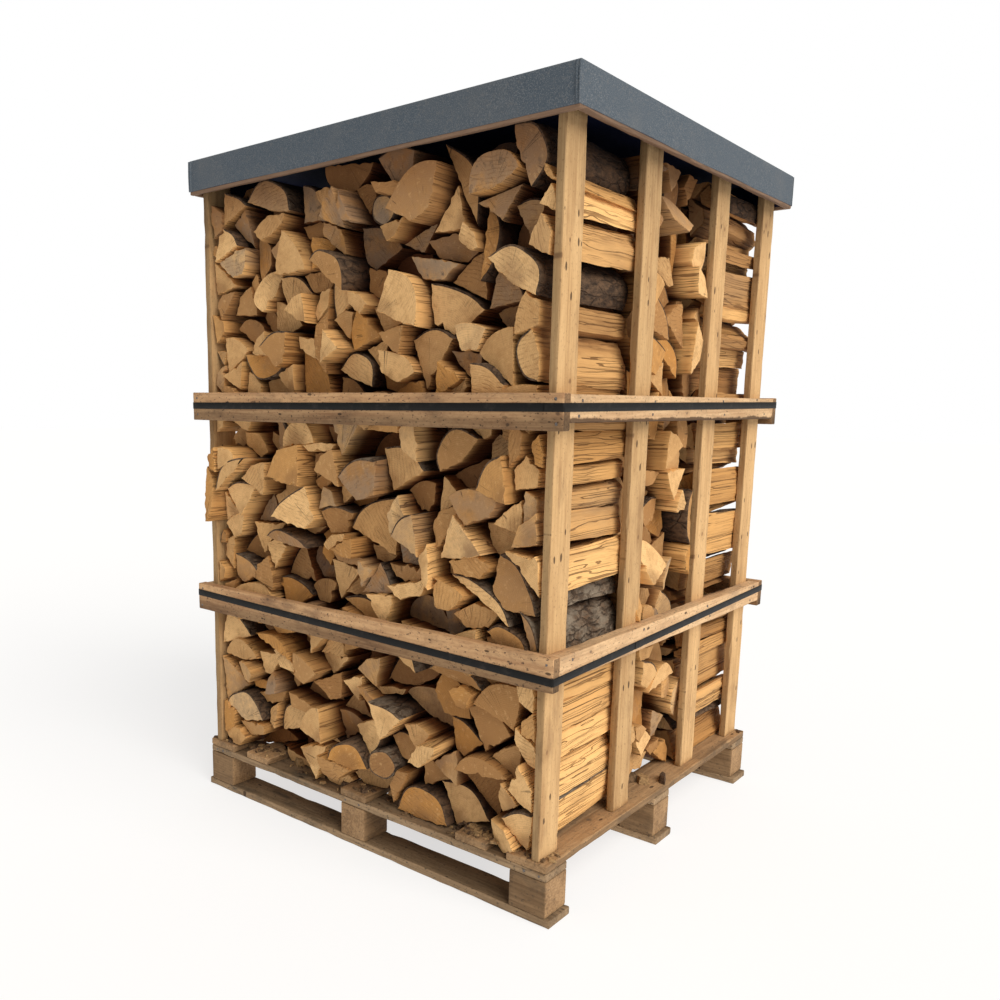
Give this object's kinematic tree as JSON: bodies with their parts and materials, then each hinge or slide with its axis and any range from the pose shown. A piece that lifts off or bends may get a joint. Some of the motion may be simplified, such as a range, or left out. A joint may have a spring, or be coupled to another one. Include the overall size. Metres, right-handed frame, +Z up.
{
  "type": "firewood crate",
  "caption": "Tall slatted wooden crate on a block pallet, filled with split firewood in rows, with strapped board rings and a flat covered lid.",
  "frame": {"origin": "on the ground, under the middle of the crate's box", "axes": "+Z up; X across the front face, +X to the right of someone looking at it; +Y from the front face, where log ends show, to the back"},
  "size_m": [1.128, 1.1226, 1.666],
  "materials": {
    "pallet_wood": "rough sawn, weathered brown, dirt and nail marks",
    "post_wood": "rough sawn softwood, golden tan, long grain",
    "rail_wood": "rough sawn, pinkish tan, with knots and bark edge",
    "lid_board": "thin brown board",
    "log_wood": "split logs: pale sawn ends, fibrous golden split faces, grey-brown bark",
    "lid_membrane": "slate grey, fine mineral speckle",
    "strap_plastic": "black plastic band, slight sheen"
  },
  "bodies": {
    "root": {"bottom_board_front": "pallet_wood", "bottom_board_middle": "pallet_wood", "bottom_board_back": "pallet_wood", "block_front_left": "pallet_wood", "block_front_centre": "pallet_wood", "block_front_right": "pallet_wood", "block_middle_left": "pallet_wood", "block_middle_centre": "pallet_wood", "block_middle_right": "pallet_wood", "block_back_left": "pallet_wood", "block_back_centre": "pallet_wood", "block_back_right": "pallet_wood", "stringer_front": "pallet_wood", "stringer_middle": "pallet_wood", "stringer_back": "pallet_wood", "deck_board_1": "pallet_wood", "deck_board_2": "pallet_wood", "deck_board_3": "pallet_wood", "deck_board_4": "pallet_wood", "deck_board_5": "pallet_wood", "post_left_1": "post_wood", "post_left_2": "post_wood", "post_left_3": "post_wood", "post_left_4": "post_wood", "post_right_1": "post_wood", "post_right_2": "post_wood", "post_right_3": "post_wood", "post_right_4": "post_wood", "upper_rail_front": "rail_wood", "upper_rail_back": "rail_wood", "upper_rail_left": "rail_wood", "upper_rail_right": "rail_wood", "lower_rail_front": "rail_wood", "lower_rail_back": "rail_wood", "lower_rail_left": "rail_wood", "lower_rail_right": "rail_wood", "upper_strap": "strap_plastic", "lower_strap": "strap_plastic", "lid_cover": "lid_membrane", "lid_panel": "lid_board", "lid_frame_front": "lid_board", "lid_frame_back": "lid_board", "lid_frame_left": "lid_board", "lid_frame_right": "lid_board", "logs_front_row": "log_wood", "logs_middle_row": "log_wood", "logs_back_row": "log_wood"}
  },
  "joints": []
}
